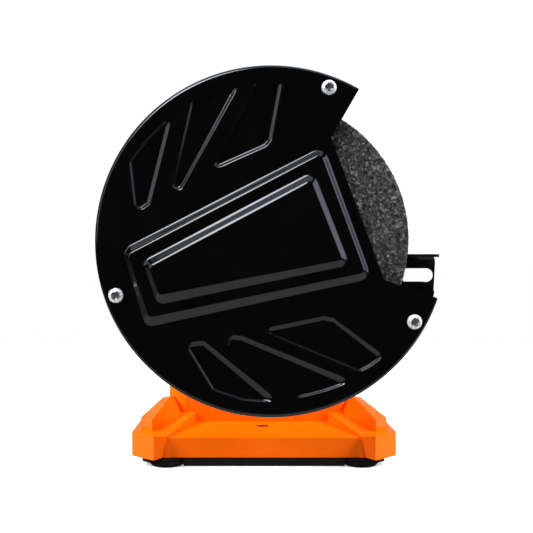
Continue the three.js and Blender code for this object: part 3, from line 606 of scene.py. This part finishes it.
def bridge(bm, first, second, closed=True):
    count = len(first)
    for k in range(count if closed else count - 1):
        n = (k + 1) % count
        bm.faces.new((first[k], first[n], second[n], second[k]))


BEND = 0.4
BEND_STEPS = 8
EDGE_STRIP = 0.0004


def pressed(bm, to_space, foot, top, foot_radius, top_radius, base, rise):
    """Pressed wall between two outlines; returns the edges of its foot and of its top. The
    wall bends over a share BEND of its width at each end and is straight in between."""
    outer = rounded(foot, foot_radius, steps=8)
    inner = rounded(top, top_radius, steps=8)
    centre = sum(outer, Vector((0, 0))) / len(outer)
    lip = [p + (p - centre).normalized() * EDGE_STRIP for p in outer]
    rings = [loop(bm, [to_space(p, base) for p in lip])]
    bends = [k * BEND / BEND_STEPS for k in range(BEND_STEPS + 1)]
    for t in bends + [1 - BEND + bend for bend in bends]:
        if t < BEND:
            share = t * t / (2 * BEND * (1 - BEND))
        elif t > 1 - BEND:
            share = 1 - (1 - t) ** 2 / (2 * BEND * (1 - BEND))
        else:
            share = (t - BEND / 2) / (1 - BEND)
        spots = [to_space(a.lerp(b, t), base + rise * share) for a, b in zip(outer, inner)]
        rings.append(loop(bm, spots))
    middle = sum(inner, Vector((0, 0))) / len(inner)
    flat = [p + (middle - p).normalized() * EDGE_STRIP for p in inner]
    rings.append(loop(bm, [to_space(p, base + rise) for p in flat]))
    for (first, _), (second, _) in zip(rings, rings[1:]):
        bridge(bm, first, second)
    return rings[0][1], rings[-1][1]


def fill(bm, edges):
    bmesh.ops.triangle_fill(bm, use_beauty=True, use_dissolve=False, edges=edges)


def face_sheet(bm, way):
    """Turns a whole open sheet so that its first face looks along Y in the given way."""
    bmesh.ops.recalc_face_normals(bm, faces=bm.faces)
    bm.faces.ensure_lookup_table()
    if bm.faces[0].normal.y * way < 0:
        bmesh.ops.reverse_faces(bm, faces=bm.faces)


def drawn_pan(radius, roll, depth, face_y, inward, holes=(), pressings=None):
    """Round sheet with a rolled edge and a flange, cut away at the work opening."""
    bm = bmesh.new()

    def to_space(point, height):
        return GUARD + Vector((point[0], face_y - inward * height, point[1]))

    sweep = 360 + NOTCH_BOTTOM - NOTCH_TOP
    angles = [NOTCH_TOP + sweep * k / ARC_STEPS for k in range(ARC_STEPS + 1)]
    sections = [(radius - roll - EDGE_STRIP, 0), (radius - roll, 0)]
    for k in range(1, BEND_STEPS + 1):
        bent = radians(90 * k / BEND_STEPS)
        sections.append((radius - roll * (1 - sin(bent)), roll * (1 - cos(bent))))
    sections.append((radius, depth))
    arcs = [[bm.verts.new(to_space(polar(r, a), -down)) for a in angles] for r, down in sections]
    for first, second in zip(arcs, arcs[1:]):
        bridge(bm, first, second, closed=False)
    lower = bm.verts.new(to_space(polar(NOTCH_RADIUS, NOTCH_BOTTOM), 0))
    upper = bm.verts.new(to_space(polar(NOTCH_RADIUS, NOTCH_TOP), 0))
    border = arcs[0] + [lower, upper]
    rim = []
    for a, b in zip(border, border[1:] + border[:1]):
        rim.append(bm.edges.get((a, b)) or bm.edges.new((a, b)))
    for centre, size in holes:
        spots = [Vector(centre) + Vector(polar(size, 360 * k / 48)) for k in range(48)]
        rim += loop(bm, [to_space(p, 0) for p in spots])[1]
    if pressings:
        rim += pressings(bm, to_space)
    fill(bm, rim)
    face_sheet(bm, -inward)
    return bm


def thicken(made, sheet, edge):
    """Gives an open sheet its thickness on the inner side and breaks its cut edges."""
    wall = made.modifiers.new("sheet", "SOLIDIFY")
    wall.thickness = sheet
    wall.offset = -1
    softer = made.modifiers.new("cut_edge", "BEVEL")
    softer.width = edge
    softer.segments = 2
    softer.limit_method = "ANGLE"
    softer.angle_limit = radians(50)
    apply_modifiers(made)
    made.data.set_sharp_from_angle(angle=radians(38))


# The raised panel on a cover has two steps, and six pockets fan out above and below it.
STEP_ONE = ([(-0.1035, -0.0048), (0.0372, 0.0672), (0.071, -0.027), (-0.0898, -0.0618)],
            [(-0.0982, -0.0098), (0.0335, 0.059), (0.0634, -0.0202), (-0.082, -0.0504)])
STEP_TWO = ([(-0.0905, -0.0132), (0.03, 0.05), (0.056, -0.0178), (-0.0792, -0.0464)],
            [(-0.0822, -0.0182), (0.0262, 0.0398), (0.0466, -0.0112), (-0.0765, -0.0342)])
POCKETS = [
    [(-0.0975, 0.0552), (-0.094, 0.0247), (-0.0895, 0.0226), (-0.084, 0.0267),
     (-0.0688, 0.0867), (-0.085, 0.0715)],
    [(-0.068, 0.0371), (-0.0625, 0.0358), (-0.0215, 0.1104), (-0.04, 0.1038), (-0.0542, 0.0981)],
    [(-0.041, 0.0496), (-0.0036, 0.0663), (0.0006, 0.0718), (0.0082, 0.1125), (-0.0098, 0.1106)],
    [(-0.0569, -0.0744), (-0.0542, -0.0696), (-0.0458, -0.0689), (0.0055, -0.1112),
     (-0.019, -0.1096), (-0.0396, -0.1028)],
    [(-0.0299, -0.0703), (-0.0257, -0.0647), (-0.0195, -0.0654), (0.0558, -0.0966),
     (0.036, -0.1035), (0.0193, -0.1077)],
    [(-0.0076, -0.0609), (0.0373, -0.0516), (0.0442, -0.0529), (0.0782, -0.0786),
     (0.069, -0.0855), (0.0616, -0.0895)],
]
STEP_RISE = 0.004
POCKET_WALL = 0.003
POCKET_STEEP = 0.0017
POCKET_SLOPE = 0.0032
POCKET_FLARE = 0.0011
POCKET_DEPTH = 0.0016


def moved_in(points, distance):
    """Convex outline with its edges moved inwards; distance gives each edge's move
    from its outward direction."""
    pts = [Vector(p) for p in points]
    count = len(pts)
    area = sum(pts[k].cross(pts[(k + 1) % count]) for k in range(count))
    turn = 1 if area > 0 else -1
    lines = []
    for k in range(count):
        along = (pts[(k + 1) % count] - pts[k]).normalized()
        outward = Vector((along.y, -along.x)) * turn
        lines.append((outward, outward.dot(pts[k]) - distance(outward)))
    result = []
    for k in range(count):
        (n1, d1), (n2, d2) = lines[k - 1], lines[k]
        size = n1.cross(n2)
        result.append(Vector((d1 * n2.y - d2 * n1.y, n1.x * d2 - n2.x * d1)) / size)
    return result


def pocket_wall(outward, low):
    """The left walls of a pocket, and the bottom walls of the low pockets, are steep; the
    walls on the upper right slope gently."""
    if outward.x < -0.4 or (low and outward.y < -0.6):
        return POCKET_STEEP
    return POCKET_WALL + POCKET_SLOPE * max(0, outward.dot(Vector((0.6, 0.8))))


def cover_pressings(bm, to_space):
    foot, top = pressed(bm, to_space, *STEP_ONE, 0.009, 0.003, 0, STEP_RISE)
    second_foot, second_top = pressed(bm, to_space, *STEP_TWO, 0.007, 0.003, STEP_RISE, STEP_RISE)
    fill(bm, top + second_foot)
    fill(bm, second_top)
    open_edges = foot
    for pocket in POCKETS:
        lip = moved_in(pocket, lambda outward: -POCKET_FLARE)
        low = pocket[0][1] < 0
        floor_line = moved_in(lip, lambda outward: pocket_wall(outward, low))
        rim, bottom = pressed(bm, to_space, lip, floor_line, 0.0045, 0.0015, 0, -POCKET_DEPTH)
        fill(bm, bottom)
        open_edges = open_edges + rim
    return open_edges


CUP = {"radius": 0.1202, "roll": 0.004, "depth": 0.0545}
CUP_Y = 0.142
COVER = {"radius": 0.1225, "roll": 0.0026, "depth": 0.0065}
COVER_Y = 0.2
HUB_RADIUS = 0.024
STUD = Vector((0.088, 0, 0.1528))
STUD_RELIEF = 0.016
for side, name in ((-1, "left"), (1, "right")):
    hub = ((-GUARD.x, SPINDLE.z - GUARD.z), HUB_RADIUS)
    bm = drawn_pan(**CUP, face_y=side * CUP_Y, inward=side, holes=[hub])
    body = piece(f"{name}_guard_cup", bm, gloss_black)
    thicken(body, 0.002, 0.0004)
    relief = [(0, side * 0.13), (STUD_RELIEF, side * 0.13), (STUD_RELIEF, side * 0.15),
              (0, side * 0.15)]
    cut(body, [turned(relief, "Y", STUD, 48)])
    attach(body, "root")
    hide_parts(f"{name}_guard_rim", f"{name}_guard_back")
    bm = drawn_pan(**COVER, face_y=side * COVER_Y, inward=-side, pressings=cover_pressings)
    cover = piece(f"{name}_cover", bm, gloss_black)
    thicken(cover, 0.0014, 0.0003)
    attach(cover, "root")
    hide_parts(f"{name}_guard_cover")


# Rest brackets: a flat steel ear with a folded foot, spot-welded inside each guard body.
# The tool rest lies against the ear and the knob pulls the two together.
def prism(outline, y0, y1):
    """Solid between two planes across Y; the outline is in X and Z."""
    bm = bmesh.new()
    near = [bm.verts.new((p[0], y0, p[1])) for p in outline]
    far = [bm.verts.new((p[0], y1, p[1])) for p in outline]
    bridge(bm, near, far)
    bm.faces.new(near)
    bm.faces.new(list(reversed(far)))
    bmesh.ops.recalc_face_normals(bm, faces=bm.faces)
    return bm


def soften(made, width):
    """Rounds the hard edges of a finished piece."""
    edges = made.modifiers.new("soft_edges", "BEVEL")
    edges.width = width
    edges.segments = 2
    edges.limit_method = "ANGLE"
    edges.angle_limit = radians(40)
    apply_modifiers(made)
    made.data.set_sharp_from_angle(angle=radians(40))


def joined(name, parts, material):
    """One piece from several closed bmesh bodies."""
    whole = bmesh.new()
    for bm in parts:
        mesh = bpy.data.meshes.new("part")
        bm.to_mesh(mesh)
        bm.free()
        whole.from_mesh(mesh)
        bpy.data.meshes.remove(mesh)
    return piece(name, whole, material)


EAR = [(0.072, 0.13), (0.112, 0.13), (0.119, 0.134), (0.1229, 0.1368), (0.1238, 0.141),
       (0.1224, 0.143), (0.1157, 0.1482), (0.101, 0.1482), (0.098, 0.153), (0.096, 0.1635),
       (0.08, 0.1635), (0.072, 0.15)]
EAR_Y = (0.1566, 0.1586)
FOOT = [(0.074, 0.13), (0.11, 0.13), (0.11, 0.1325), (0.074, 0.1325)]
FOOT_Y = (0.1432, 0.1584)
for side, name in ((-1, "left"), (1, "right")):
    ear = prism(rounded(EAR, 0.0016, steps=3), side * EAR_Y[0], side * EAR_Y[1])
    foot = prism(FOOT, side * FOOT_Y[0], side * FOOT_Y[1])
    bracket = joined(f"{name}_rest_bracket", [ear, foot], gloss_black)
    soften(bracket, 0.0005)
    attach(bracket, "root")


# Cover screws: zinc-plated pan heads with a cross recess, three in each cover. One screw is
# turned and punched, and Geometry Nodes set a copy at each hole.
screws, given, out = geometry_tree("screws_at_holes", [
    ("Screw", "NodeSocketObject", None), ("Turn step", "NodeSocketFloat", 0.6),
    ("Material", "NodeSocketMaterial", None),
])
model = add_node(screws, "GeometryNodeObjectInfo", {"Object": given["Screw"]}).outputs["Geometry"]
index = add_node(screws, "GeometryNodeInputIndex").outputs[0]
twist = compute(screws, "MULTIPLY", index, given["Turn step"])
turn = add_node(screws, "ShaderNodeCombineXYZ", {"Y": twist}).outputs[0]
placed = add_node(screws, "GeometryNodeInstanceOnPoints", {
    "Points": given["Geometry"], "Instance": model, "Rotation": turn}).outputs[0]
real = add_node(screws, "GeometryNodeRealizeInstances", {"Geometry": placed}).outputs[0]
plated = add_node(screws, "GeometryNodeSetMaterial", {
    "Geometry": real, "Material": given["Material"]}).outputs[0]
screws.links.new(plated, out.inputs[0])

bright_zinc, shader, place = new_finish("bright_zinc", Metallic=0.55)
plate = mottled(place, 420, 4, (0.3, (0.86, 0.87, 0.88)), (0.7, (0.98, 0.98, 0.97)))
# The faces inside the cross recess take a dark mottled grey: painted shade in the recess.
painted_recess_shade = mottled(place, 1500, 3, (0.35, 0.03), (0.65, 0.4))
tree = bright_zinc.node_tree
recess = add_node(tree, "ShaderNodeAttribute", attribute_name="recess").outputs["Fac"]
used = add_node(tree, "ShaderNodeMixRGB", {"Fac": recess, "Color1": plate, "Color2": painted_recess_shade})
feed(shader, "Base Color", used.outputs["Color"])
feed(shader, "Roughness", mottled(place, 900, 4, (0.25, 0.24), (0.8, 0.4)))
feed(shader, "Normal", bump(grain(place, 1500, 2), 0.00004, 0.5))

HEAD_HEIGHT = 0.004
SHANK_R = 0.0021
SLOT_DEPTH = 0.0026
for side, name in ((-1, "left"), (1, "right")):
    nodes = [f"{name}_cover_screw_{k}" for k in (1, 2, 3)]
    spots = []
    for node in nodes:
        low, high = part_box(node)
        spots.append(((low[0] + high[0]) / 2, 0, (low[2] + high[2]) / 2))
    head_r = (high[0] - low[0]) / 2
    inner = min(abs(low[1]), abs(high[1]))
    outer = max(abs(low[1]), abs(high[1]))
    seat = outer - HEAD_HEIGHT
    above = outer + 0.001
    head = [(0, inner), (SHANK_R, inner), (SHANK_R, seat), (head_r, seat), (head_r, seat + 0.0012),
            (head_r * 0.86, seat + 0.0031), (head_r * 0.5, outer), (0, outer)]
    head = [(r, side * y) for r, y in rounded(head, 0.0012, closed=False)]
    screw = piece("screw", turned(head, "Y", (0, 0, 0), 64), bright_zinc)
    slots = []
    for long_x in (True, False):
        wide, slim = (0.0033, 0.0009) if long_x else (0.0009, 0.0033)
        bm = prism([(-wide, -slim), (wide, -slim), (wide, slim), (-wide, slim)],
                   side * (outer - SLOT_DEPTH), side * above)
        for vertex in bm.verts:
            depth = abs(vertex.co.y) - (outer - SLOT_DEPTH)
            narrow = 0.55 + 0.45 * depth / SLOT_DEPTH
            vertex.co.x *= narrow if long_x else 1
            vertex.co.z *= 1 if long_x else narrow
        slots.append(bm)
    dish = [(0, side * (outer - 0.0028)), (0.0016, side * (outer - 0.0016)),
            (0.0028, side * (outer - 0.0008)), (0.0032, side * above), (0, side * above)]
    slots.append(turned(dish, "Y", (0, 0, 0), 32))
    cut(screw, slots)
    # Marks the faces inside the cross recess, which take the painted shade.
    depths = screw.data.attributes.new("recess", "FLOAT", "FACE")
    for face in screw.data.polygons:
        deep = hypot(face.center.x, face.center.z) < 0.0034 and abs(face.center.y) > seat - 0.001
        depths.data[face.index].value = 1.0 if deep and abs(face.center.y) < outer - 0.00008 else 0.0
    holes = bpy.data.meshes.new("screw_holes")
    holes.from_pydata(spots, [], [])
    fixed = run_geometry(f"{name}_cover_screws", screws, holes, {
        "Screw": screw, "Turn step": 0.55, "Material": bright_zinc}, bright_zinc)
    bpy.data.objects.remove(screw)
    fixed.data.set_sharp_from_angle(angle=radians(32))
    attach(fixed, "root")
    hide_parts(*nodes)


# Grinding wheels: coarse dark aluminium-oxide grit in a vitrified bond. The open grain
# stands out of the face and makes the rim slightly ragged.
abrasive, shader, place = new_finish("abrasive_grit")
tree = abrasive.node_tree
cells = add_node(tree, "ShaderNodeTexVoronoi", {"Vector": place, "Scale": 620.0, "Randomness": 1.0})
grit_tone = add_node(tree, "ShaderNodeSeparateColor", {"Color": cells.outputs["Color"]}).outputs["Red"]
grit = ramp(grit_tone, (0.0, (0.024, 0.0215, 0.0208)), (0.55, (0.05, 0.0455, 0.0442)),
            (0.85, (0.11, 0.1, 0.097)), (1.0, (0.21, 0.197, 0.192)))
pits = ramp(grain(place, 330, 4, 0.6), (0.42, 0.06), (0.55, 1.0))
dusty = add_node(tree, "ShaderNodeMixRGB", {"Fac": 1.0, "Color1": grit, "Color2": pits},
                 blend_type="MULTIPLY")
feed(shader, "Base Color", dusty.outputs["Color"])
feed(shader, "Roughness", ramp(grit_tone, (0.0, 0.95), (0.9, 0.75), (1.0, 0.5)))
grit_bump = bump(cells.outputs["Distance"], 0.0006, 0.7)
feed(shader, "Normal", bump(grain(place, 700, 3, 0.6), 0.001, 0.9, grit_bump))

WHEEL_R = 0.1
WHEEL_STEPS = 600
BORE_R = 0.0082
FLANGE_R = 0.03
CHAMFER = 0.001
GRIT_FROM_R = 0.04
GRIT_SINK = 0.0003
for side, name in ((-1, "left"), (1, "right")):
    low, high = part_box(f"{name}_wheel")
    inner = min(abs(low[1]), abs(high[1]))
    outer = max(abs(low[1]), abs(high[1]))
    face = WHEEL_R - CHAMFER - FLANGE_R
    rim = outer - inner - 2 * CHAMFER
    profile = [(BORE_R, inner), (FLANGE_R, inner)]
    profile += [(FLANGE_R + face * k / 24, inner) for k in range(1, 25)]
    profile += [(WHEEL_R, inner + CHAMFER + rim * k / 18) for k in range(19)]
    profile += [(WHEEL_R - CHAMFER - face * k / 54, outer) for k in range(55)]
    profile += [(BORE_R, outer)]
    bm = turned([(r, side * y) for r, y in profile], "Y", SPINDLE, WHEEL_STEPS)
    bm.normal_update()
    for vertex in bm.verts:
        arm = vertex.co - SPINDLE
        radius = hypot(arm.x, arm.z)
        if radius > GRIT_FROM_R:
            rough = noise.noise(vertex.co * 620) * 0.00028 + noise.noise(vertex.co * 1400) * 0.0002
            vertex.co += vertex.normal * (rough - GRIT_SINK)
    wheel = piece(f"{name}_grinding_wheel", bm, abrasive, 60)
    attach(wheel, "spindle_set")
    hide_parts(f"{name}_wheel")


# Wheel flanges and nuts: dished steel flanges turned from bar grip each wheel, and a hex nut
# draws them up on the threaded end of the spindle.
for side, name in ((-1, "left"), (1, "right")):
    for where in ("inner", "outer"):
        flange = eased(f"{name}_{where}_clamp", f"{name}_{where}_flange", 0.0004, steel, 2, 30)
        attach(flange, "spindle_set")
        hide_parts(f"{name}_{where}_flange")
    nut = eased(f"{name}_hex_nut", f"{name}_wheel_nut", 0.0005, zinc, 2, 30)
    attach(nut, "spindle_set")
    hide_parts(f"{name}_wheel_nut")


# Tool rests: 2 mm steel folded once, a slotted flange against the ear and a narrow table
# in front of the wheel, in black paint that is thin and dull on the sheared end.
rest_paint, shader, place = new_finish("rest_paint", Specular_IOR_Level=0.3)
feed(shader, "Base Color", mottled(place, 60, 4, (0.3, 0.0022), (0.7, 0.0048)))
feed(shader, "Roughness", mottled(place, 180, 5, (0.3, 0.2), (0.75, 0.34)))
feed(shader, "Normal", bump(grain(place, 1000, 3), 0.00004, 0.5))

dull_edge, shader, place = new_finish("dull_sheared_edge", Specular_IOR_Level=0.0)
feed(shader, "Base Color", mottled(place, 400, 4, (0.3, 0.002), (0.7, 0.006)))
feed(shader, "Roughness", mottled(place, 400, 3, (0.3, 0.8), (0.7, 1.0)))
feed(shader, "Normal", bump(grain(place, 1500, 3), 0.0001, 0.6))

FOLD = 0.003
FOLD_STEPS = 8
TABLE_LOW = 0.1664
SLOT_R = 0.005
SLOT_ENDS = (0.073, 0.1181)
FLANGE_Y = 0.156
REST_TIP_Y = 0.181
REST_IN_X = 0.102
REST_OUT_X = 0.1247
REST_TIP_X = 0.1229
CLIP = 0.0015
for side, name in ((-1, "left"), (1, "right")):
    bm = bmesh.new()
    front = side * FLANGE_Y
    fold_z = TABLE_LOW - FOLD
    outline = [(REST_IN_X, fold_z), (0.098, 0.1622), (0.0632, 0.1622), (0.062, 0.161),
               (0.062, 0.1417), (0.0632, 0.1405), (0.1224, 0.1405), (0.1236, 0.1417),
               (REST_OUT_X, fold_z)]
    verts, edges = loop(bm, [(x, front, z) for x, z in outline])
    slot = []
    for end, centre in enumerate(SLOT_ENDS):
        for k in range(17):
            u, v = polar(SLOT_R, 90 + 180 * end + 180 * k / 16)
            slot.append((centre + u, front, STUD.z + v))
    fill(bm, edges + loop(bm, slot)[1])
    row = [verts[0], verts[-1]]
    for k in range(1, FOLD_STEPS + 1):
        bent = radians(90 * k / FOLD_STEPS)
        y = side * (FLANGE_Y + FOLD * (1 - cos(bent)))
        z = fold_z + FOLD * sin(bent)
        edge_x = REST_OUT_X - (REST_OUT_X - REST_TIP_X) * k / FOLD_STEPS
        ahead = [bm.verts.new((REST_IN_X, y, z)), bm.verts.new((edge_x, y, z))]
        bm.faces.new((row[0], row[1], ahead[1], ahead[0]))
        row = ahead
    tip = side * REST_TIP_Y
    clipped = tip - side * CLIP
    corners = [(REST_TIP_X, clipped), (REST_TIP_X - CLIP, tip), (REST_IN_X + CLIP, tip),
               (REST_IN_X, clipped)]
    table_end = [bm.verts.new((x, y, TABLE_LOW)) for x, y in corners]
    bm.faces.new([row[0], row[1]] + table_end)
    face_sheet(bm, side)
    rest = piece(f"{name}_folded_rest", bm, rest_paint)
    thicken(rest, 0.002, 0.0003)
    rest.data.materials.append(dull_edge)
    for face in rest.data.polygons:
        if face.normal.x < -0.6 and face.center.z > TABLE_LOW - FOLD:
            face.material_index = 1
    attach(rest, f"{name}_rest")
    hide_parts(f"{name}_tool_rest")


# Rest knobs: black moulded hand knobs with six lobes. Each has a zinc-plated stud moulded in,
# which goes through the slot of the rest and the ear of the bracket.
LOBES = 6
LOBE_DEPTH = 0.1
KNOB_CORE_R = 0.0075
KNOB_R = 0.012
KNOB_PROFILE = [(0, 0.137), (0.008, 0.137), (0.0105, 0.1376), (0.0117, 0.139), (KNOB_R, 0.141),
                (KNOB_R, 0.1475), (0.0115, 0.1492), (0.0098, 0.1502), (0.0066, 0.1504),
                (0.0065, 0.1537), (0, 0.1537)]


def lobes(radius, angle):
    """Share of the radius, full on each lobe and less between them; the core stays round."""
    outward = max(0, radius - KNOB_CORE_R) / (KNOB_R - KNOB_CORE_R)
    return 1 - LOBE_DEPTH * outward * (1 - cos(LOBES * angle))


for side, name in ((-1, "left"), (1, "right")):
    bm = turned([(r, side * y) for r, y in KNOB_PROFILE], "Y", STUD, 96, lobes)
    knob = piece(f"{name}_lobed_knob", bm, plastic)
    stud_profile = [(0, side * 0.1537), (0.0038, side * 0.1537), (0.0038, side * 0.1594),
                    (0.0032, side * 0.16), (0, side * 0.16)]
    stud = piece(f"{name}_knob_stud", turned(stud_profile, "Y", STUD, 40), zinc)
    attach(knob, f"{name}_knob")
    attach(stud, f"{name}_knob")
    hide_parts(f"{name}_rest_knob")


# Power switch: a black moulded housing clipped in the pedestal, with a plain red moulded
# rocker pivoted in it.
housing = eased("switch_case", "switch_housing", 0.0006, plastic, 2)
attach(housing, "root")
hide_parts("switch_housing")

red, shader, place = new_finish("red_moulding", Coat_Weight=0.3, Coat_Roughness=0.08)
feed(shader, "Base Color", mottled(place, 90, 3, (0.3, (0.4, 0.006, 0.006)),
                                   (0.7, (0.52, 0.012, 0.01))))
feed(shader, "Roughness", mottled(place, 300, 4, (0.3, 0.22), (0.75, 0.36)))
feed(shader, "Normal", bump(grain(place, 1600, 2), 0.00003, 0.5))
rocker = eased("red_rocker", "switch_rocker", 0.0006, red, 3)
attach(rocker, "rocker")
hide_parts("switch_rocker")


# Cord inlet: a black strain-relief sleeve on the side of the pedestal away from the operator.
# It is turned, with four thin ribs along it.
low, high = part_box("cord_gland")
gland_z = (low[2] + high[2]) / 2
gland_profile = [(0.0036, high[0]), (0.0058, high[0]), (0.0058, -0.0795), (0.0075, -0.0802)]
RIBS = 4
RIB_PITCH = 0.0022
RIB_TAPER = 0.0003
for k in range(RIBS):
    start = -0.0822 - RIB_PITCH * k
    crest = 0.0072 - RIB_TAPER * k
    groove = 0.0062 - RIB_TAPER * k
    gland_profile += [(crest, start), (groove, start - 0.0003), (groove, start - 0.0009),
                      (crest, start - 0.0012)]
gland_profile += [(0.0055, low[0]), (0.0036, low[0])]
gland = piece("ribbed_gland", turned(gland_profile, "X", (0, 0, gland_z), 64), rubber)
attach(gland, "root")
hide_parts("cord_gland")
